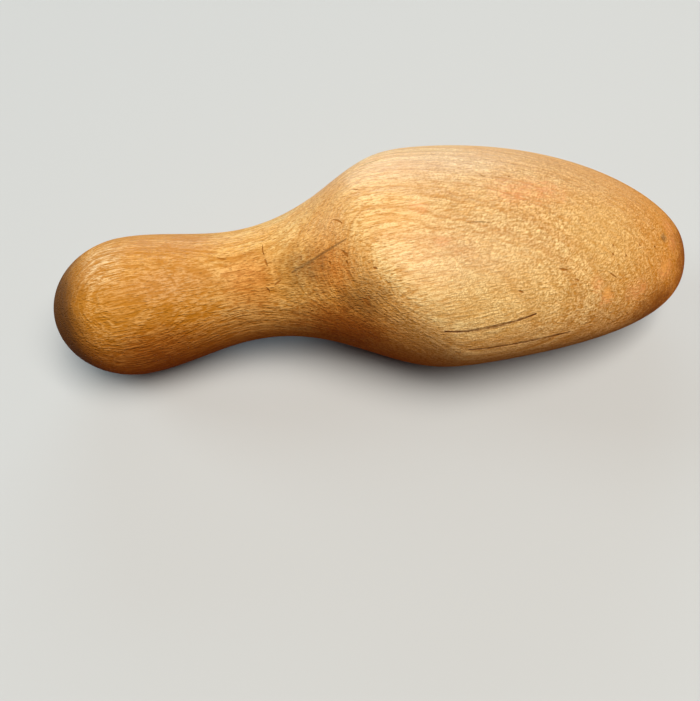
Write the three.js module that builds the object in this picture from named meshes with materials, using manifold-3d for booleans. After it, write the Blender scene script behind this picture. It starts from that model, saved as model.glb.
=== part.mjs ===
import * as THREE from 'three';
import { mergeVertices } from 'three/addons/utils/BufferGeometryUtils.js';
import Module from 'manifold-3d';

// A sock darner carved from one blank of pale hardwood: a round knob to hold, a turned waist and flare,
// and a broad head shaped like the front of a foot, over which the sock is stretched.
// Sizes are in millimetres. The long axis runs from the knob's end, at 0, to the toe.

// Overall
const length = 155;

// Knob and waist, turned round on the long axis
const knobRadius = 16.5;
const knobWidestAt = 18.9;
const waistRadius = 13.3;
const waistAt = 45.8;

// Flare, which curves out of the waist and then runs on as a plain cone
const coneStartsAt = 68;
const coneAngle = 27.8;

// Head seen from above
const headWidth = 61.7;
const headWidestAt = 85.1;
const heelReach = 65.7;
const toePlanFullness = 2.33;
const toePlanEnd = 2.03;

// Head seen from the side
const headThickness = 43.4;
const headThickestAt = 76.1;
const instepReach = 97.4;
const toeSideFullness = 2.06;
const toeSideEnd = 2.66;

// Head's cross-section: 2 would be a plain ellipse, and less draws its two sides out to a soft edge
const sectionSquareness = 1.87;

// How crisply the flare meets the head: a higher number is a sharper edge
const edgeCrispness = 23;

// Toe, which drops towards the table and leans to one side as a foot's does
const toeDrop = 12.5;
const toeLean = 4;
const toeBendStartsAt = 70;

// Flats worn into the underside, where the knob and the head have lain on tables
const knobWear = 0.3;
const headWear = 0.7;

// Facets
const angleSteps = 54;
const knobSteps = 14;
const middleSteps = 38;
const toeSteps = 26;

const wasm = await Module();
wasm.setup();

const coneSlope = Math.tan(THREE.MathUtils.degToRad(coneAngle));

// Radius of the turned body at a place on the long axis
function turnedRadius(x) {
  if (x < knobWidestAt) {
    const u = 1 - x / knobWidestAt;
    return knobRadius * Math.sqrt(Math.max(1 - u * u, 0));
  }
  if (x < waistAt) {
    const u = (x - knobWidestAt) / (waistAt - knobWidestAt);
    return THREE.MathUtils.lerp(knobRadius, waistRadius, THREE.MathUtils.smoothstep(u, 0, 1));
  }
  const curveLength = coneStartsAt - waistAt;
  const along = x - waistAt;
  if (along < curveLength) {
    return waistRadius + coneSlope * along * along / (2 * curveLength);
  }
  return waistRadius + coneSlope * (along - curveLength / 2);
}

// Half a size of the head at a place on the long axis: a quarter oval behind the largest place,
// and a fuller curve in front of it that closes at the toe
function headHalfSize(x, largest, largestAt, reachBehind, fullness, endShape) {
  if (x < largestAt) {
    const u = Math.min((largestAt - x) / reachBehind, 1);
    return largest * Math.sqrt(1 - u * u);
  }
  const v = Math.min((x - largestAt) / (length - largestAt), 1);
  return largest * Math.pow(1 - Math.pow(v, fullness), 1 / endShape);
}

// Distance from the long axis to the surface, at a place along it and an angle round it
function surfaceRadius(x, angle) {
  const turned = turnedRadius(x);
  if (x <= waistAt) {
    return turned;
  }
  const halfWidth = headHalfSize(x, headWidth / 2, headWidestAt, heelReach, toePlanFullness, toePlanEnd);
  const halfThickness = headHalfSize(x, headThickness / 2, headThickestAt, instepReach, toeSideFullness, toeSideEnd);
  const across = Math.pow(Math.abs(Math.cos(angle)) / halfWidth, sectionSquareness);
  const upright = Math.pow(Math.abs(Math.sin(angle)) / halfThickness, sectionSquareness);
  const head = Math.pow(across + upright, -1 / sectionSquareness);
  const sum = Math.pow(turned, -edgeCrispness) + Math.pow(head, -edgeCrispness);
  return Math.pow(sum, -1 / edgeCrispness);
}

// How far the toe's bend has come at a place on the long axis, from 0 to 1
function toeBend(x) {
  const u = THREE.MathUtils.clamp((x - toeBendStartsAt) / (length - toeBendStartsAt), 0, 1);
  return u * u;
}

function surfacePoint(x, angle) {
  const radius = surfaceRadius(x, angle);
  const bend = toeBend(x);
  return new THREE.Vector3(
    x,
    radius * Math.cos(angle) - toeLean * bend,
    radius * Math.sin(angle) - toeDrop * bend,
  );
}

// Places of the rings of points along the axis, closer together where the two ends round off
function ringPlaces() {
  const places = [];
  for (let i = 1; i <= knobSteps; i++) {
    places.push(knobWidestAt * (1 - Math.cos(i / knobSteps * Math.PI / 2)));
  }
  for (let i = 1; i <= middleSteps; i++) {
    places.push(THREE.MathUtils.lerp(knobWidestAt, headWidestAt, i / middleSteps));
  }
  for (let i = 1; i < toeSteps; i++) {
    places.push(headWidestAt + (length - headWidestAt) * Math.sin(i / toeSteps * Math.PI / 2));
  }
  return places;
}

// Closed skin: a point at the knob's end, the rings, and a point at the toe
function darnerSkin() {
  const places = ringPlaces();
  const points = [new THREE.Vector3(0, 0, 0)];
  for (const x of places) {
    for (let j = 0; j < angleSteps; j++) {
      points.push(surfacePoint(x, j / angleSteps * Math.PI * 2));
    }
  }
  const toe = points.length;
  points.push(new THREE.Vector3(length, -toeLean, -toeDrop));

  const triangles = [];
  for (let j = 0; j < angleSteps; j++) {
    const next = (j + 1) % angleSteps;
    triangles.push(0, 1 + next, 1 + j);
    for (let i = 0; i < places.length - 1; i++) {
      const here = 1 + i * angleSteps;
      const ahead = here + angleSteps;
      triangles.push(here + j, here + next, ahead + next);
      triangles.push(here + j, ahead + next, ahead + j);
    }
    const last = 1 + (places.length - 1) * angleSteps;
    triangles.push(last + j, last + next, toe);
  }
  const geometry = new THREE.BufferGeometry().setFromPoints(points);
  geometry.setIndex(triangles);
  return geometry;
}

// Lowest point of a stretch of the skin after it is tilted about the Y axis
function lowestOf(points, tilt) {
  let lowest = null;
  for (const p of points) {
    const z = p.x * Math.sin(tilt) + p.z * Math.cos(tilt);
    if (lowest === null || z < lowest.z) {
      lowest = { x: p.x, z };
    }
  }
  return lowest;
}

// Tilt at which the knob and the head both reach below the table top by as much as they are worn
function restingTilt(points) {
  const knob = points.filter((p) => p.x < waistAt);
  const head = points.filter((p) => p.x > waistAt);
  let tilt = 0;
  for (let round = 0; round < 8; round++) {
    const behind = lowestOf(knob, tilt);
    const ahead = lowestOf(head, tilt);
    tilt -= (ahead.z + headWear - behind.z - knobWear) / (ahead.x - behind.x);
  }
  return tilt;
}

// Lay the darner on the table, whose top is at height 0
function layOnTable(geometry) {
  const position = geometry.getAttribute('position');
  const points = [];
  for (let i = 0; i < position.count; i++) {
    points.push(new THREE.Vector3().fromBufferAttribute(position, i));
  }
  const tilt = restingTilt(points);
  const head = points.filter((p) => p.x > waistAt);
  geometry.rotateY(-tilt);
  geometry.translate(0, 0, -lowestOf(head, tilt).z - headWear);
  return geometry;
}

function toSolid(geometry) {
  const bare = geometry.clone();
  bare.deleteAttribute('normal');
  bare.deleteAttribute('uv');
  const merged = mergeVertices(bare, 1e-5);
  return new wasm.Manifold(new wasm.Mesh({
    numProp: 3,
    vertProperties: new Float32Array(merged.getAttribute('position').array),
    triVerts: new Uint32Array(merged.getIndex().array),
  }));
}

function fromSolid(solid) {
  const mesh = solid.getMesh();
  const geometry = new THREE.BufferGeometry();
  geometry.setAttribute('position', new THREE.BufferAttribute(new Float32Array(mesh.vertProperties), 3));
  geometry.setIndex(new THREE.BufferAttribute(new Uint32Array(mesh.triVerts), 1));
  return geometry;
}

// Everything under the table top is cut away, which leaves the two worn flats
function wearFlats(geometry) {
  const slabHeight = 4 * (knobWear + headWear);
  const slab = new THREE.BoxGeometry(length * 2, headWidth * 2, slabHeight);
  slab.translate(length / 2, 0, -slabHeight / 2);
  return fromSolid(toSolid(geometry).subtract(toSolid(slab)));
}

const oiledMaple = new THREE.MeshStandardMaterial({ color: 0xc98f4c, roughness: 0.42, metalness: 0 });

const darnerBody = new THREE.Mesh(wearFlats(layOnTable(darnerSkin())), oiledMaple);
darnerBody.name = 'darner_body';
darnerBody.geometry.computeBoundingBox();
const middle = darnerBody.geometry.boundingBox.getCenter(new THREE.Vector3());
darnerBody.position.set(-middle.x, -middle.y, 0);

const darner = new THREE.Group();
darner.add(darnerBody);

export default darner;
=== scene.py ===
import math

import bpy
import numpy as np
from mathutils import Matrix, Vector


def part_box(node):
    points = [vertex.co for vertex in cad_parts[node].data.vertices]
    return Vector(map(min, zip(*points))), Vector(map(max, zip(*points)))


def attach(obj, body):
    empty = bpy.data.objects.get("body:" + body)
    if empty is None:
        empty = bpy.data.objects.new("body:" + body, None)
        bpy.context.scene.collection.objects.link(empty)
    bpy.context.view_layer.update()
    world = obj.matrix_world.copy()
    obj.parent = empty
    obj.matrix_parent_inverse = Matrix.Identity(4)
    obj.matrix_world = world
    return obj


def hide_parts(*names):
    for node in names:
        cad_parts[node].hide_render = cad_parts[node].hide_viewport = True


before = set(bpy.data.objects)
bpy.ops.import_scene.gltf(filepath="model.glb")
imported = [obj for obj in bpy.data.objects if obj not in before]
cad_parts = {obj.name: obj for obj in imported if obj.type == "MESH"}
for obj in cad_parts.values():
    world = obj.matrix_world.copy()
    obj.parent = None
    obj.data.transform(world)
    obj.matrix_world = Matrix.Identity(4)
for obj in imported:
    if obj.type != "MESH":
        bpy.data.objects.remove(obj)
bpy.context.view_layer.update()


# Viewpoint
# The camera stands over the darner's near side and looks down at it, with the knob on the left and
# the toe on the right. A lens of 36 mm on a 36 mm sensor gives the frame of the photograph.
camera_place = (-0.0253, -0.1062, 0.1531)
camera_down = 57.7
camera_turn = -9.82

camera_data = bpy.data.cameras.new("camera")
camera_data.sensor_fit = "HORIZONTAL"
camera_data.sensor_width = 36
camera_data.lens = 36
camera_data.clip_start = 0.005
camera = bpy.data.objects.new("camera", camera_data)
camera.location = camera_place
camera.rotation_euler = (math.radians(90 - camera_down), 0, math.radians(camera_turn))
bpy.context.scene.collection.objects.link(camera)
bpy.context.scene.camera = camera


# Darner, the shape
# One blank of maple, turned round at the knob, waist and flare. The head was then worked down by
# hand until it had the form of the front of a foot. All sizes are in millimetres.
length = 155.0
knob_radius = 16.5
knob_widest_at = 18.9
waist_radius = 13.3
waist_at = 45.8
cone_starts_at = 68.0
cone_slope = math.tan(math.radians(27.8))
head_half_width = 30.85
head_widest_at = 85.1
heel_reach = 65.7
head_half_thickness = 21.7
head_thickest_at = 76.1
instep_reach = 97.4
toe_plan_fullness, toe_plan_end = 2.33, 2.03
toe_side_fullness, toe_side_end = 2.06, 2.66
section_squareness = 1.87
edge_crispness = 23
toe_drop = 12.5
toe_lean = 4.0
toe_bend_starts_at = 70.0
knob_wear = 0.3
head_wear = 0.7
least_size = 1e-4
mm = 0.001


def turned_radius(x):
    """Radius of the turned body: an ellipse at the knob's end, an S-curve down to the waist, a
    parabola out of the waist and a straight cone after it."""
    cap = knob_radius * np.sqrt(np.clip(1 - (1 - x / knob_widest_at) ** 2, 0, 1))
    u = np.clip((x - knob_widest_at) / (waist_at - knob_widest_at), 0, 1)
    neck = knob_radius + (waist_radius - knob_radius) * u * u * (3 - 2 * u)
    reach = cone_starts_at - waist_at
    past = x - waist_at
    curve = waist_radius + cone_slope * past**2 / (2 * reach)
    cone = waist_radius + cone_slope * (past - reach / 2)
    radius = np.where(x < knob_widest_at, cap, neck)
    radius = np.where(x > waist_at, curve, radius)
    return np.where(x > cone_starts_at, cone, radius)


def head_half_size(x, largest, largest_at, reach_behind, fullness, end_shape):
    """Half a size of the head: a quarter ellipse behind its largest place, and in front of it a
    superellipse that closes at the toe."""
    u = np.clip((largest_at - x) / reach_behind, 0, 1)
    v = np.clip((x - largest_at) / (length - largest_at), 0, 1)
    return largest * np.sqrt(1 - u**2) * (1 - v**fullness) ** (1 / end_shape)


def darner_parts(x, angle):
    """Distance from the long axis to the turned body and to the head: the head's section is a
    superellipse with the two half sizes."""
    plan = (head_half_width, head_widest_at, heel_reach, toe_plan_fullness, toe_plan_end)
    side = (head_half_thickness, head_thickest_at, instep_reach, toe_side_fullness, toe_side_end)
    wide = np.maximum(head_half_size(x, *plan), least_size)
    thick = np.maximum(head_half_size(x, *side), least_size)
    power = section_squareness
    across = (np.abs(np.cos(angle)) / wide) ** power
    upright = (np.abs(np.sin(angle)) / thick) ** power
    head = (across + upright) ** (-1 / power)
    return np.maximum(turned_radius(x), least_size) + 0 * angle, head


def darner_surface(x, angle):
    """Surface points, before the darner is laid down: the smaller of turned body and head, rounded
    where they meet, with the toe bent down and to the side by the square of the distance."""
    turned, head = darner_parts(x, angle)
    both = (turned**-edge_crispness + head**-edge_crispness) ** (-1 / edge_crispness)
    radius = np.where(x > waist_at, both, turned)
    bend = np.clip((x - toe_bend_starts_at) / (length - toe_bend_starts_at), 0, 1) ** 2
    y = radius * np.cos(angle) - toe_lean * bend
    z = radius * np.sin(angle) - toe_drop * bend
    return np.stack([x + 0 * angle, y, z], -1)


def lowest(points, tilt):
    """The lowest of some points once they are tilted: its place along the darner and its height."""
    height = points[..., 0] * math.sin(tilt) + points[..., 2] * math.cos(tilt)
    at = np.unravel_index(np.argmin(height), height.shape)
    return points[at][0], height[at]


def resting_place():
    """The tilt at which knob and head both lie on the table, and the move that puts the darner's
    middle over the origin."""
    rings = np.linspace(0.5, length - 0.5, 900)[:, None]
    round_it = np.linspace(0, 2 * np.pi, 180, endpoint=False)[None, :]
    points = darner_surface(rings, round_it)
    knob, head = points[rings[:, 0] < waist_at], points[rings[:, 0] > waist_at]
    tilt = 0.0
    for _ in range(8):
        behind, ahead = lowest(knob, tilt), lowest(head, tilt)
        tilt -= (ahead[1] + head_wear - behind[1] - knob_wear) / (ahead[0] - behind[0])
    middle_y = (points[..., 1].max() + points[..., 1].min()) / 2
    knob_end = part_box("darner_body")[0][0] / mm
    return tilt, np.array([knob_end, -middle_y, -lowest(head, tilt)[1] - head_wear])


tilt, move = resting_place()


def laid_down(points):
    """Tilts points about the Y axis, moves them over the origin, and wears flat what is below 0."""
    x, y, z = points[..., 0], points[..., 1], points[..., 2]
    along = x * math.cos(tilt) - z * math.sin(tilt)
    up = x * math.sin(tilt) + z * math.cos(tilt)
    placed = np.stack([along, y, up], -1) + move
    placed[..., 2] = np.maximum(placed[..., 2], 0)
    return placed


def on_darner(x, degrees):
    """A point on the surface in millimetres, x along from the knob's end and degrees round from the
    far side over the top."""
    point = darner_surface(np.array([[float(x)]]), np.array([[math.radians(degrees)]]))
    return tuple(float(c) for c in laid_down(point)[0, 0])


knob_steps, middle_steps, toe_steps, round_count = 60, 179, 120, 256
knob_turn = np.linspace(0, np.pi / 2, knob_steps + 1)[1:]
toe_turn = np.linspace(0, np.pi / 2, toe_steps + 1)[1:-1]
knob_rings = knob_widest_at * (1 - np.cos(knob_turn))
middle_rings = np.linspace(knob_widest_at, head_widest_at, middle_steps + 1)[1:]
toe_rings = head_widest_at + (length - head_widest_at) * np.sin(toe_turn)
rings = np.concatenate([knob_rings, middle_rings, toe_rings])
angles = np.linspace(0, 2 * np.pi, round_count, endpoint=False)
grid = darner_surface(rings[:, None], angles[None, :])
skin = laid_down(grid)
knob_tip = laid_down(np.array([0.0, 0.0, 0.0]))
toe_tip = laid_down(np.array([length, -toe_lean, -toe_drop]))

vertices = np.concatenate([skin.reshape(-1, 3), knob_tip[None], toe_tip[None]])
ring, step = np.meshgrid(np.arange(len(rings) - 1), np.arange(round_count), indexing="ij")
here, next_step = ring * round_count + step, ring * round_count + (step + 1) % round_count
quads = np.stack([here, next_step, next_step + round_count, here + round_count], -1).reshape(-1, 4)
tip, toe = len(vertices) - 2, len(vertices) - 1
last = (len(rings) - 1) * round_count
spokes = np.arange(round_count)
next_spokes = (spokes + 1) % round_count
knob_fan = np.stack([np.full(round_count, tip), next_spokes, spokes], -1)
toe_fan = np.stack([last + spokes, last + next_spokes, np.full(round_count, toe)], -1)

darner_mesh = bpy.data.meshes.new("maple_darner")
faces = quads.tolist() + knob_fan.tolist() + toe_fan.tolist()
darner_mesh.from_pydata((vertices * mm).tolist(), [], faces)
darner_mesh.polygons.foreach_set("use_smooth", np.ones(len(darner_mesh.polygons), dtype=bool))
darner_mesh.update()


def keep_on_mesh(name, values):
    """Keeps one number for each point of the mesh, for the wood to read."""
    kept = darner_mesh.attributes.new(name, "FLOAT", "POINT")
    kept.data.foreach_set("value", values.astype(np.float32))


# How square the surface cuts the fibres, from 0 on long grain to 1 on end grain
normals = np.empty(len(vertices) * 3, dtype=np.float32)
darner_mesh.vertex_normals.foreach_get("vector", normals)
fibre = np.array([math.cos(tilt), 0, math.sin(tilt)])
keep_on_mesh("end_grain", np.abs(normals.reshape(-1, 3) @ fibre))

# Where the surface is the turned flare and not the hand-worked head
edge_softness = 0.8
turned, head = darner_parts(rings[:, None], angles[None, :])
flare = 1 / (1 + np.exp(np.clip((turned - head) / edge_softness, -30, 30)))
flare = np.where(rings[:, None] > waist_at, flare, 1)
knob_and_toe_tips = [1.0, 0.0]
keep_on_mesh("turned", np.concatenate([flare.reshape(-1), knob_and_toe_tips]))

darner = bpy.data.objects.new("maple_darner", darner_mesh)
bpy.context.scene.collection.objects.link(darner)
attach(darner, "root")
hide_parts("darner_body")


# Wood, the way its rings lie
# The heart of the tree ran lengthwise under the far side of the blank. Places are turned into three
# numbers about it: along the grain, out from the heart, and round the heart. They wander a little,
# as the rings of a real tree do.
def add_node(tree, kind, inputs=(), **settings):
    """Adds a node, sets its options, and fills or wires its inputs."""
    made = tree.nodes.new(kind)
    for name, value in settings.items():
        setattr(made, name, value)
    for socket, value in dict(inputs).items():
        if isinstance(value, bpy.types.NodeSocket):
            tree.links.new(value, made.inputs[socket])
        else:
            made.inputs[socket].default_value = value
    return made


def maths(tree, operation, *values):
    return add_node(tree, "ShaderNodeMath", enumerate(values), operation=operation).outputs[0]


def vectors(tree, operation, *values):
    made = add_node(tree, "ShaderNodeVectorMath", enumerate(values), operation=operation)
    return made.outputs["Value" if operation in ("LENGTH", "DOT_PRODUCT") else "Vector"]


def scaled(tree, vector, amount):
    inputs = {0: vector, "Scale": amount}
    return add_node(tree, "ShaderNodeVectorMath", inputs, operation="SCALE").outputs["Vector"]


def parts_of(tree, vector):
    return add_node(tree, "ShaderNodeSeparateXYZ", {0: vector}).outputs


def joined(tree, x, y, z):
    return add_node(tree, "ShaderNodeCombineXYZ", {"X": x, "Y": y, "Z": z}).outputs[0]


def turned_by(tree, vector, angles):
    return add_node(tree, "ShaderNodeMapping", {"Vector": vector, "Rotation": angles}).outputs[0]


def ramp(tree, value, low, high, to_low=0.0, to_high=1.0):
    """Value goes smoothly from to_low to to_high as it goes from low to high."""
    inputs = {"Value": value, "From Min": low, "From Max": high, "To Min": to_low, "To Max": to_high}
    return add_node(tree, "ShaderNodeMapRange", inputs, interpolation_type="SMOOTHSTEP").outputs[0]


def noise(tree, place, scale, detail=2.0, roughness=0.5, output="Fac"):
    inputs = {"Vector": place, "Scale": scale, "Detail": detail, "Roughness": roughness}
    return add_node(tree, "ShaderNodeTexNoise", inputs).outputs[output]


def noise_along(tree, distance, scale):
    inputs = {"W": distance, "Scale": scale, "Detail": 1.0}
    return add_node(tree, "ShaderNodeTexNoise", inputs, noise_dimensions="1D").outputs["Fac"]


def start_group(name, inputs, outputs):
    """A new node group with these sockets: its tree, its inputs by name, and its output node."""
    tree = bpy.data.node_groups.new(name, "ShaderNodeTree")
    for label, kind in inputs:
        tree.interface.new_socket(label, in_out="INPUT", socket_type=kind)
    for label, kind in outputs:
        tree.interface.new_socket(label, in_out="OUTPUT", socket_type=kind)
    entry = tree.nodes.new("NodeGroupInput")
    return tree, entry.outputs, tree.nodes.new("NodeGroupOutput")


NUMBER, VECTOR = "NodeSocketFloat", "NodeSocketVector"

about_heart_tree, given, result = start_group(
    "about the heart",
    [("Place", VECTOR), ("Heart", VECTOR), ("Wander", NUMBER), ("Curl", NUMBER)],
    [("About heart", VECTOR)],
)
t = about_heart_tree
middle_of_noise = (0.5, 0.5, 0.5)
stretched = vectors(t, "MULTIPLY", given["Place"], (0.4, 1.0, 1.0))
wander = vectors(t, "SUBTRACT", noise(t, stretched, 0.032, 2, 0.5, "Color"), middle_of_noise)
curl = vectors(t, "SUBTRACT", noise(t, given["Place"], 0.22, 1, 0.5, "Color"), middle_of_noise)
swayed = vectors(t, "ADD", given["Place"], scaled(t, wander, given["Wander"]))
swayed = vectors(t, "ADD", swayed, scaled(t, curl, given["Curl"]))
spread = parts_of(t, vectors(t, "SUBTRACT", swayed, given["Heart"]))
across_squared = maths(t, "POWER", spread["Y"], 2.0)
up_squared = maths(t, "POWER", spread["Z"], 2.0)
out_from = maths(t, "SQRT", maths(t, "ADD", across_squared, up_squared))
usual_distance = 65.0
round_it = maths(t, "MULTIPLY", maths(t, "ARCTAN2", spread["Z"], spread["Y"]), usual_distance)
t.links.new(joined(t, spread["X"], out_from, round_it), result.inputs["About heart"])


# Wood, its growth rings and fine layers
# Each year leaves a pale band that ends in a thin browner line. Between those lines lie many faint
# layers, which show as contour lines where the surface runs along a ring.
rings_tree, given, result = start_group(
    "growth rings",
    [("About heart", VECTOR), ("Year", NUMBER), ("Layer", NUMBER)],
    [("Late wood", NUMBER), ("Year tone", NUMBER), ("Layers", NUMBER)],
)
t = rings_tree
out_from = parts_of(t, given["About heart"])["Y"]
uneven = noise_along(t, out_from, 0.3)
years = maths(t, "ADD", maths(t, "DIVIDE", out_from, given["Year"]), uneven)
through_year = maths(t, "FRACT", years)
darkening = ramp(t, through_year, 0.4, 0.93)
after_edge = ramp(t, through_year, 0.94, 1.0, 1.0, 0.0)
t.links.new(maths(t, "MULTIPLY", darkening, after_edge), result.inputs["Late wood"])
t.links.new(ramp(t, noise_along(t, out_from, 0.45), 0.35, 0.65), result.inputs["Year tone"])
layer_scale = joined(t, 0.035, maths(t, "DIVIDE", 1.0, given["Layer"]), 0.2)
layered = vectors(t, "MULTIPLY", given["About heart"], layer_scale)
t.links.new(noise(t, layered, 1.0, 2, 0.6), result.inputs["Layers"])


# Wood, its fibres, rays and pores
# Fibres run the length of the blank and show as fine streaks. Rays stand out from the heart like
# thin blades, and show as short dashes or as small slanting scales. Pores are fine dark hairs.
streak_tree, given, result = start_group(
    "fibre streaks",
    [("Place", VECTOR), ("Length", NUMBER), ("Thickness", NUMBER)],
    [("Streak", NUMBER)],
)
t = streak_tree
along_scale = maths(t, "DIVIDE", 1.0, given["Length"])
across_scale = maths(t, "DIVIDE", 1.0, given["Thickness"])
stretch = joined(t, along_scale, across_scale, across_scale)
drawn_out = vectors(t, "MULTIPLY", given["Place"], stretch)
t.links.new(noise(t, drawn_out, 1.0, 2, 0.6), result.inputs["Streak"])

fleck_tree, given, result = start_group(
    "flecks",
    [("Place", VECTOR), ("Size", VECTOR), ("Share", NUMBER)],
    [("Fleck", NUMBER)],
)
t = fleck_tree
sized = vectors(t, "DIVIDE", given["Place"], given["Size"])
cells = add_node(t, "ShaderNodeTexVoronoi", {"Vector": sized, "Scale": 1.0})
spot = ramp(t, cells.outputs["Distance"], 0.1, 0.5, 1.0, 0.0)
chance = add_node(t, "ShaderNodeSeparateColor", {"Color": cells.outputs["Color"]}).outputs["Red"]
chosen = maths(t, "LESS_THAN", chance, given["Share"])
t.links.new(maths(t, "MULTIPLY", spot, chosen), result.inputs["Fleck"])


# Wood, the marks of use
# Drying checks follow the fibres, and needles and table edges have left scratches and dents. Each
# is a thin bowed line between two points of the surface, widest in its middle. Stains and rubbed
# places are soft patches with ragged edges. Distances are measured mostly along the surface.
line_tree, given, result = start_group(
    "line mark",
    [
        ("Place", VECTOR),
        ("From", VECTOR),
        ("To", VECTOR),
        ("Bow", VECTOR),
        ("Width", NUMBER),
        ("Waver", NUMBER),
    ],
    [("Mark", NUMBER)],
)
t = line_tree
reach = vectors(t, "SUBTRACT", given["To"], given["From"])
offset = vectors(t, "SUBTRACT", given["Place"], given["From"])
travelled = vectors(t, "DOT_PRODUCT", offset, reach)
share = maths(t, "DIVIDE", travelled, vectors(t, "DOT_PRODUCT", reach, reach))
share = add_node(t, "ShaderNodeClamp", {"Value": share}).outputs[0]
hump = maths(t, "MULTIPLY", maths(t, "MULTIPLY", share, maths(t, "SUBTRACT", 1.0, share)), 4.0)
straight = vectors(t, "ADD", given["From"], scaled(t, reach, share))
nearest = vectors(t, "ADD", straight, scaled(t, given["Bow"], hump))
away = vectors(t, "SUBTRACT", given["Place"], nearest)
core = (0.0, 0.0, 20.0)
outward = vectors(t, "SUBTRACT", vectors(t, "MULTIPLY", nearest, (0.0, 1.0, 1.0)), core)
outward = vectors(t, "NORMALIZE", outward, (0.0, 0.0, 0.0))
depth_left_out = 0.85
depth = maths(t, "MULTIPLY", vectors(t, "DOT_PRODUCT", away, outward), -depth_left_out)
away = vectors(t, "LENGTH", vectors(t, "ADD", away, scaled(t, outward, depth)))
wavering = maths(t, "MULTIPLY", given["Width"], given["Waver"])
half_width = maths(t, "MULTIPLY", wavering, maths(t, "MULTIPLY_ADD", hump, 0.7, 0.3))
mark = ramp(t, maths(t, "DIVIDE", away, half_width), 0.3, 1.25, 1.0, 0.0)
t.links.new(mark, result.inputs["Mark"])

patch_tree, given, result = start_group(
    "soft patch",
    [
        ("Place", VECTOR),
        ("Middle", VECTOR),
        ("Reach", VECTOR),
        ("Ragged", NUMBER),
        ("Waver", NUMBER),
    ],
    [("Patch", NUMBER)],
)
t = patch_tree
inner = vectors(t, "SUBTRACT", given["Place"], given["Middle"])
inner = vectors(t, "DIVIDE", inner, given["Reach"])
uneven = maths(t, "MULTIPLY", maths(t, "SUBTRACT", given["Waver"], 0.5), given["Ragged"])
from_middle = maths(t, "ADD", vectors(t, "LENGTH", inner), uneven)
t.links.new(ramp(t, from_middle, 0.15, 1.0, 1.0, 0.0), result.inputs["Patch"])


# Wood, its colour
# Old maple that was waxed and then rubbed by hands and wool: honey gold on long grain, browner on
# the knob that the hand held, and brownest where end grain drank the wax.
wood = bpy.data.materials.new("aged_maple")
wood.use_nodes = True
t = wood.node_tree
t.nodes.clear()


def placed(tree_used, **inputs):
    """Puts a group in the wood; names with an underscore stand for sockets with a space."""
    made = t.nodes.new("ShaderNodeGroup")
    made.node_tree = tree_used
    for name, value in inputs.items():
        socket = made.inputs[name.replace("_", " ")]
        if isinstance(value, bpy.types.NodeSocket):
            t.links.new(value, socket)
        else:
            socket.default_value = value
    return made.outputs


def times(value, *others):
    """The product of numbers that change over the surface."""
    for other in others:
        value = maths(t, "MULTIPLY", value, other)
    return value


def eased(mask, change, start):
    """Start where the mask is 0, and start plus change where it is 1."""
    return maths(t, "MULTIPLY_ADD", mask, change, start)


def either(mask, *others):
    """The strongest of several masks."""
    for other in others:
        mask = maths(t, "MAXIMUM", mask, other)
    return mask


def dark_share(pattern):
    """How far a streaky pattern is in one of its dark places."""
    return ramp(t, pattern, 0.48, 0.62)


def tint(under, over, amount, blend="MIX"):
    """Lays one colour over another by an amount."""
    made = add_node(t, "ShaderNodeMix", data_type="RGBA", blend_type=blend)
    for socket, value in ((0, amount), (6, under), (7, over)):
        if isinstance(value, bpy.types.NodeSocket):
            t.links.new(value, made.inputs[socket])
        else:
            made.inputs[socket].default_value = value
    return made.outputs[2]


object_place = add_node(t, "ShaderNodeTexCoord").outputs["Object"]
place = scaled(t, object_place, 1 / mm)
grain = turned_by(t, place, (0, tilt, 0))
knob_to_middle = 77.8
grain_along = maths(t, "ADD", parts_of(t, grain)["X"], knob_to_middle)
cut_across = add_node(t, "ShaderNodeAttribute", attribute_name="end_grain").outputs["Fac"]
on_flare = add_node(t, "ShaderNodeAttribute", attribute_name="turned").outputs["Fac"]

honey = (1.0, 0.67, 0.25, 1)
deep_honey = (0.98, 0.53, 0.14, 1)
top_sheen_pale = (1.0, 0.76, 0.43, 1)
knob_brown = (0.70, 0.28, 0.035, 1)
end_brown = (0.76, 0.26, 0.012, 1)
ring_brown = (0.72, 0.32, 0.04, 1)
fibre_brown = (0.55, 0.20, 0.006, 1)
ray_brown = (0.50, 0.19, 0.006, 1)
grime = (0.14, 0.05, 0.006, 1)
low_shade_amber = (0.60, 0.29, 0.005, 1)
cream = (1.0, 0.66, 0.22, 1)
painted_highlight_pale = (1.0, 0.74, 0.42, 1)
held_brown = (0.60, 0.25, 0.07, 1)

height = parts_of(t, place)["Z"]
cloud = noise(t, grain, 0.07, 3, 0.55)
colour = tint(honey, deep_honey, ramp(t, cloud, 0.38, 0.62))
lean_to_near_side = -0.8
tipped_up = parts_of(t, turned_by(t, place, (lean_to_near_side, 0, 0)))["Z"]
on_knob = ramp(t, grain_along, 50.0, 36.0)
colour = tint(colour, knob_brown, times(on_knob, 0.85))
broad_waver = noise(t, place, 0.4, 3, 0.65)


def patch(along, degrees, reach, ragged=1.2):
    """A soft patch on the surface with its reach in millimetres along, across and up."""
    edges = {"Reach": reach, "Ragged": ragged, "Waver": broad_waver}
    return placed(patch_tree, Place=place, Middle=on_darner(along, degrees), **edges)["Patch"]


# Pale places rubbed by hands and wool, a painted highlight on the knob, and the knob's middle, which
# the hand held
pale_side = either(patch(101, 150, (28, 17, 14), 1.0), patch(127, 126, (18, 17, 13), 1.0))
colour = tint(colour, cream, times(pale_side, 0.62))
# Painted highlight: the window's sheen on the knob's upper left
colour = tint(colour, painted_highlight_pale, times(patch(16.5, 86, (7, 10, 8), 0.8), 0.85))
held = either(patch(31, 116, (12, 9, 9), 1.5), patch(36, 70, (8, 8, 7), 1.5))
colour = tint(colour, held_brown, times(held, 0.75))

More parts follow.
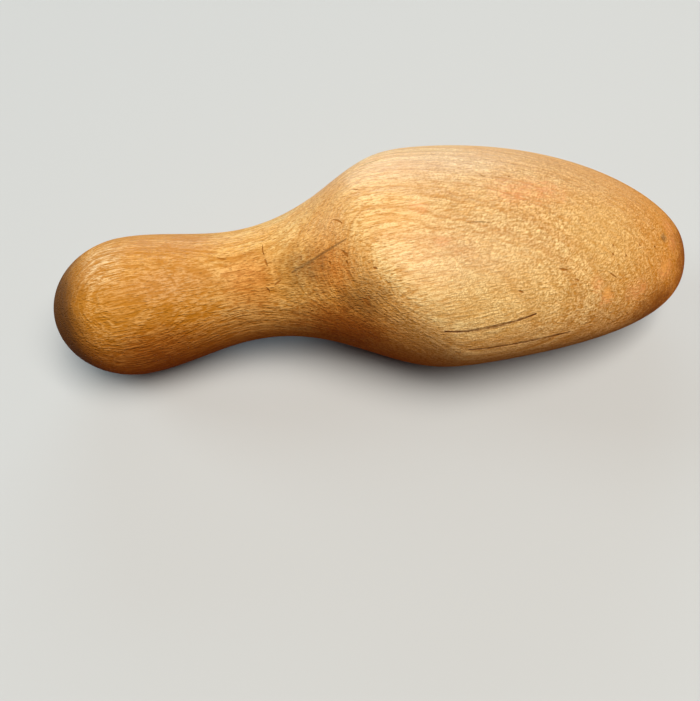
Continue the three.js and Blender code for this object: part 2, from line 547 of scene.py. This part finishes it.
# Growth rings: they show least where the knob was turned and the flare cuts across them
heart = (0.0, 27.0, -22.0)
about_heart = placed(about_heart_tree, Place=grain, Heart=heart, Wander=5.0, Curl=0.5)["About heart"]
ring_marks = placed(rings_tree, About_heart=about_heart, Year=1.9, Layer=0.42)
colour = tint(colour, deep_honey, times(ring_marks["Year tone"], eased(on_knob, -0.4, 0.7)))
late_depth = eased(on_flare, -0.45, eased(on_knob, -0.2, 0.9))
colour = tint(colour, ring_brown, times(ring_marks["Late wood"], late_depth))

# The side that faces up, painted paler as a sheen of the light from above, most of all on the head
top_sheen = times(ramp(t, tipped_up, 8.0, 26.0), ramp(t, grain_along, 62.0, 90.0, 0.22, 1.0))
colour = tint(colour, top_sheen_pale, times(top_sheen, 0.42))

# Rays: slanting scales on the head's top and near side, and dashes along the grain elsewhere
on_top = times(ramp(t, tipped_up, 3.0, 16.0), ramp(t, grain_along, 78.0, 98.0))
slant_of_scales = -0.8
slanted = turned_by(t, grain, (0, 0, slant_of_scales))
scales = dark_share(placed(streak_tree, Place=slanted, Length=0.85, Thickness=0.22)["Streak"])
dashes = placed(fleck_tree, Place=about_heart, Size=(1.2, 2.4, 0.38), Share=0.75)["Fleck"]
rays = add_node(t, "ShaderNodeMix", {0: on_top, 2: dashes, 3: scales}).outputs[0]
ray_depth = ramp(t, grain_along, 96.0, 122.0, 0.58, 0.95)
colour = tint(colour, ray_brown, times(rays, ray_depth))

# Fine layers and fibres
lined = eased(on_top, -0.25, 1.0)
crossed = times(on_flare, ramp(t, grain_along, 52.0, 66.0))
layer_depth = times(lined, eased(on_knob, 0.25, 0.47), eased(crossed, -0.5, 1.0))
colour = tint(colour, fibre_brown, times(dark_share(ring_marks["Layers"]), layer_depth))
long_streak = placed(streak_tree, Place=grain, Length=7.0, Thickness=0.5)["Streak"]
fine_streak = placed(streak_tree, Place=grain, Length=2.2, Thickness=0.3)["Streak"]
fine_depth = eased(on_knob, 0.3, times(lined, 0.65))
colour = tint(colour, fibre_brown, times(dark_share(long_streak), eased(on_knob, 0.5, 0.4)))
colour = tint(colour, fibre_brown, times(dark_share(fine_streak), fine_depth))

# End grain and pores, the dark cap on the knob's end, and painted shade that darkens the wood low
# down
end_share = ramp(t, cut_across, 0.18, 0.7)
colour = tint(colour, end_brown, times(end_share, 0.6))
speckle = ramp(t, noise(t, grain, 2.0, 2, 0.7), 0.48, 0.66)
colour = tint(colour, fibre_brown, times(speckle, eased(end_share, 0.5, 0.4)))
pores = placed(fleck_tree, Place=grain, Size=(3.0, 0.6, 0.6), Share=0.14)["Fleck"]
colour = tint(colour, ray_brown, times(pores, 0.7))
on_cap = ramp(t, eased(cloud, 6.0, grain_along), 9.5, 18.5, 1.0, 0.0)
colour = tint(colour, grime, times(on_cap, 0.96))
# Painted shade: the lower the wood lies, the darker it is made
painted_low_shade = ramp(t, eased(cloud, 6.0, height), 10.0, 34.0, 1.0, 0.0)
colour = tint(colour, low_shade_amber, painted_low_shade, "MULTIPLY")


# Wood, the stains and marks on it
# Pinkish blushes from dyed wool, wax and a hand's grime about the flare, two long drying checks on
# the near side, a grey scratch across the flare, and small dents and needle marks.
fine_waver = eased(noise(t, place, 0.9, 2, 0.6), 0.7, 0.4)


def line_mark(start, middle, end, width):
    """A line over the surface through three places, each in millimetres along and degrees round."""
    a, b, c = (np.array(on_darner(*spot)) for spot in (start, middle, end))
    path = {"From": tuple(a), "To": tuple(c), "Bow": tuple(b - (a + c) / 2)}
    return placed(line_tree, Place=place, Width=width, Waver=fine_waver, **path)["Mark"]


blush = (0.93, 0.34, 0.12, 1)
check_brown = (0.12, 0.02, 0.0, 1)
dent_brown = (0.36, 0.11, 0.01, 1)
scratch_grey = (0.12, 0.06, 0.025, 1)
wax_brown = (0.84, 0.66, 0.45, 1)
handled_wood = (0.91, 0.91, 0.91, 1)
low_near_brown = (0.74, 0.60, 0.38, 1)
toe_brown = (0.56, 0.43, 0.20, 1)
dye = (0.92, 0.40, 0.08, 1)

colour = tint(colour, cream, times(pale_side, 0.2))
colour = tint(colour, handled_wood, on_flare, "MULTIPLY")
waxed = either(
    patch(68, 172, (20, 12, 11), 0.8),
    patch(66, 128, (9, 9, 9), 0.8),
    patch(48, 128, (9, 10, 11), 0.8),
)
# Darker low on the near side of the flare and the knob
low_near_darkening = either(patch(67, 176, (19, 10, 11), 0.8), patch(25, 168, (15, 8, 9), 0.8))
colour = tint(colour, low_near_brown, low_near_darkening, "MULTIPLY")
colour = tint(colour, wax_brown, waxed, "MULTIPLY")
wool_blush = either(
    patch(113, 92, (14, 6, 6)),
    patch(90.3, 123, (2.5, 2, 2)),
    patch(87, 101, (3, 3, 3)),
    patch(123.4, 152, (2.5, 2.5, 2.5)),
    patch(125.1, 160, (3, 2.5, 2.5)),
    patch(133.6, 160, (5, 4, 3.5)),
    patch(143.3, 150, (5, 5, 3.5)),
    patch(147.6, 106, (4, 4, 3)),
    patch(147, 128, (3, 4, 3)),
)
dull_toe = either(patch(153, 155, (11, 15, 12)), patch(140, 176, (12, 8, 7)))
colour = tint(colour, toe_brown, dull_toe, "MULTIPLY")
in_streaks = ramp(t, long_streak, 0.35, 0.65, 0.1, 0.45)
colour = tint(colour, blush, times(wool_blush, in_streaks))
dyed = either(patch(125.4, 158, (1.8, 2.6, 2.4), 1.5), patch(143.0, 148, (2.6, 2.6, 2.2), 1.5))
colour = tint(colour, dye, times(dyed, 0.6))
handled = either(patch(60, 125, (9, 8, 7)), patch(72, 150, (8, 8, 8)))
colour = tint(colour, grime, times(handled, 0.45))

checks = either(
    line_mark((87.6, 165), (97.4, 165), (107.9, 162), 0.74),
    line_mark((92.5, 175), (104.0, 175.0), (116.0, 174.0), 0.57),
    line_mark((89.2, 160.8), (93.1, 160.2), (96.6, 159.8), 0.15),
    line_mark((107.5, 164.5), (110.5, 163.3), (114, 161.5), 0.16),
)
colour = tint(colour, check_brown, checks)
dents = either(
    line_mark((52.2, 107.5), (52.3, 111), (52.5, 114.5), 0.4),
    line_mark((52.2, 92), (52.0, 98), (52.2, 104), 0.2),
    line_mark((41.6, 96), (42.6, 98), (43.6, 99), 0.35),
    line_mark((68.7, 96), (69.5, 98), (70.3, 101), 0.45),
    line_mark((69.4, 119), (69.8, 121), (70.2, 123), 0.5),
    line_mark((69.6, 125), (69.7, 126), (69.9, 127), 0.4),
    line_mark((75, 131.5), (75.3, 132), (75.7, 132.5), 0.45),
    line_mark((71.8, 149), (72.4, 151), (73.1, 154), 0.9),
    line_mark((72.9, 147), (73.1, 148), (73.3, 149), 0.35),
    line_mark((66, 123), (66.2, 124), (66.4, 125), 0.4),
    line_mark((51.3, 134), (51.6, 136), (51.8, 139), 0.4),
    line_mark((53.3, 133), (54, 131.5), (54.8, 130), 0.35),
    line_mark((95.2, 93), (94.1, 94), (93.6, 98), 0.35),
    line_mark((103.1, 77), (103.6, 79), (104.3, 79), 0.35),
    line_mark((109.3, 79), (109.5, 79), (109.8, 79), 0.35),
    line_mark((114.7, 143), (115.6, 143.5), (116.5, 144), 0.4),
    line_mark((118, 149), (118.3, 149), (118.7, 149.5), 0.4),
    line_mark((104.6, 151), (105.1, 151.5), (105.6, 152), 0.35),
    line_mark((129, 131), (129.1, 131.3), (129.2, 132), 0.4),
    line_mark((128.4, 136.5), (128.5, 137), (128.7, 137.6), 0.4),
    line_mark((131.8, 137.6), (131.9, 138), (132.1, 138.5), 0.35),
    line_mark((136.3, 130.6), (136.4, 131), (136.6, 131.6), 0.4),
    line_mark((140.6, 131.6), (140.8, 132), (141, 132.5), 0.35),
    line_mark((130.8, 171.6), (131, 172), (131.2, 172.5), 0.5),
    line_mark((74, 78), (74.8, 79.5), (75.6, 81), 0.25),
    line_mark((126.8, 147.6), (127.6, 149), (128.4, 150.5), 0.3),
)
colour = tint(colour, dent_brown, times(dents, 0.85))
rubs = either(
    line_mark((57.6, 125), (60.2, 121.5), (63.5, 118.5), 0.8),
    line_mark((61.5, 119.8), (66, 115.5), (70.6, 112), 0.5),
    line_mark((62, 121.3), (64, 119.3), (66.5, 117.2), 0.35),
    line_mark((96.1, 114), (98.8, 114), (101.5, 115), 0.2),
    line_mark((85, 119), (87.5, 116), (89.6, 115), 0.25),
    line_mark((76.5, 56), (80, 53), (83.5, 50), 0.22),
    patch(144.6, 123, (1.6, 1.6, 1.2)),
)
colour = tint(colour, scratch_grey, times(rubs, 0.6))


# Wood, its surface
# A waxed satin surface that wear has polished on top and left dull low down and in the marks. The
# fibres and rays stand a few hundredths of a millimetre up and down, and the hand-worked skin rolls
# a little.
shader = add_node(t, "ShaderNodeBsdfPrincipled")
shader.inputs["IOR"].default_value = 1.45
shader.inputs["Specular IOR Level"].default_value = 0.2
shader.inputs["Specular Tint"].default_value = (1.0, 0.96, 0.9, 1)
t.links.new(colour, shader.inputs["Base Color"])
worn = either(times(on_cap, 0.4), times(either(checks, dents, rubs), 0.6))
dull = either(ramp(t, height, 18.0, 38.0, 0.6, 0.0), worn)
satin = ramp(t, ring_marks["Layers"], 0.3, 0.7, 0.30, 0.46)
t.links.new(maths(t, "ADD", satin, dull), shader.inputs["Roughness"])
polish = maths(t, "SUBTRACT", ramp(t, height, 24.0, 42.0, 0.0, 0.5), worn)
polish = add_node(t, "ShaderNodeClamp", {"Value": polish}).outputs[0]
t.links.new(polish, shader.inputs["Coat Weight"])
shader.inputs["Coat Roughness"].default_value = 0.4
shader.inputs["Coat IOR"].default_value = 1.45

relief = eased(ring_marks["Layers"], -0.9, times(fine_streak, -0.6))
relief = eased(long_streak, -0.8, relief)
relief = eased(rays, -0.3, relief)
relief = eased(noise(t, grain, 0.16, 2, 0.5), 2.0, relief)
relief = eased(either(checks, dents), -0.4, relief)
relief_height = 0.36 * mm
bump_inputs = {"Strength": 1.0, "Distance": relief_height, "Height": relief}
bump = add_node(t, "ShaderNodeBump", bump_inputs).outputs[0]
t.links.new(bump, shader.inputs["Normal"])
output = add_node(t, "ShaderNodeOutputMaterial")
t.links.new(shader.outputs[0], output.inputs["Surface"])
darner_mesh.materials.append(wood)


# Floor and light
# A plain pale floor that fades into the backdrop. As in the photograph, a broad soft lamp is almost
# overhead and low windows are behind the darner, so its near lower side falls into shade. The floor
# looks pale, but it lights the darner only with the little brown light of a wooden table.
backdrop_grey = (0.66, 0.66, 0.645, 1)


def seen_rays(tree):
    """1 for light that reaches the eye straight or by way of gloss or glass, and 0 for the rest."""
    ray = add_node(tree, "ShaderNodeLightPath").outputs
    mirrored = maths(tree, "MAXIMUM", ray["Is Glossy Ray"], ray["Is Transmission Ray"])
    return maths(tree, "MAXIMUM", ray["Is Camera Ray"], mirrored)


floor_mesh = bpy.data.meshes.new("floor")
half = 6.0
corners = [(-half, -half, 0), (half, -half, 0), (half, half, 0), (-half, half, 0)]
floor_mesh.from_pydata(corners, [], [(0, 1, 2, 3)])
floor_paint = bpy.data.materials.new("floor_paint")
floor_paint.use_nodes = True
t = floor_paint.node_tree
t.nodes.clear()
pale = add_node(t, "ShaderNodeBsdfDiffuse", {"Color": (0.53, 0.525, 0.52, 1)}).outputs[0]
backdrop_glow = {"Color": backdrop_grey, "Strength": 1.0}
far_floor = add_node(t, "ShaderNodeEmission", backdrop_glow).outputs[0]
floor_place = add_node(t, "ShaderNodeTexCoord").outputs["Object"]
how_far = ramp(t, vectors(t, "LENGTH", floor_place), 0.4, 1.4)
pale = add_node(t, "ShaderNodeMixShader", {0: how_far, 1: pale, 2: far_floor}).outputs[0]
dim = add_node(t, "ShaderNodeBsdfDiffuse", {"Color": (0.12, 0.06, 0.02, 1)}).outputs[0]
mixed = add_node(t, "ShaderNodeMixShader", {0: seen_rays(t), 1: dim, 2: pale}).outputs[0]
t.links.new(mixed, add_node(t, "ShaderNodeOutputMaterial").inputs["Surface"])
floor_paint.cycles.emission_sampling = "NONE"
floor_mesh.materials.append(floor_paint)
floor = bpy.data.objects.new("floor", floor_mesh)
bpy.context.scene.collection.objects.link(floor)


def add_lamp(name, place_at, wide, high, watts, lamp_colour):
    """A rectangular soft lamp that faces the darner."""
    data = bpy.data.lights.new(name, "AREA")
    data.shape = "RECTANGLE"
    data.size, data.size_y = wide, high
    data.energy, data.color = watts, lamp_colour
    lamp = bpy.data.objects.new(name, data)
    x, y, z = place_at
    lamp.location = place_at
    lamp.rotation_euler = (math.acos(z / math.sqrt(x * x + y * y + z * z)), 0, math.atan2(x, -y))
    bpy.context.scene.collection.objects.link(lamp)


add_lamp("overhead", (0.34, -0.46, 1.91), 1.4, 1.4, 53, (1.0, 0.97, 0.90))
add_lamp("window", (0.25, 1.93, 0.5), 1.5, 1.0, 22, (0.60, 0.84, 1.0))
add_lamp("left window", (-1.54, 0.96, 0.85), 0.9, 0.9, 14, (0.75, 0.92, 1.0))

world = bpy.data.worlds.new("studio")
bpy.context.scene.world = world
world.use_nodes = True
t = world.node_tree
t.nodes.clear()
faint_glow = {"Color": (0.95, 0.96, 1.0, 1), "Strength": 0.05}
faint = add_node(t, "ShaderNodeBackground", faint_glow).outputs[0]
backdrop = add_node(t, "ShaderNodeBackground", backdrop_glow).outputs[0]
mixed = add_node(t, "ShaderNodeMixShader", {0: seen_rays(t), 1: faint, 2: backdrop}).outputs[0]
t.links.new(mixed, add_node(t, "ShaderNodeOutputWorld").inputs["Surface"])
bpy.context.scene.view_settings.view_transform = "Standard"
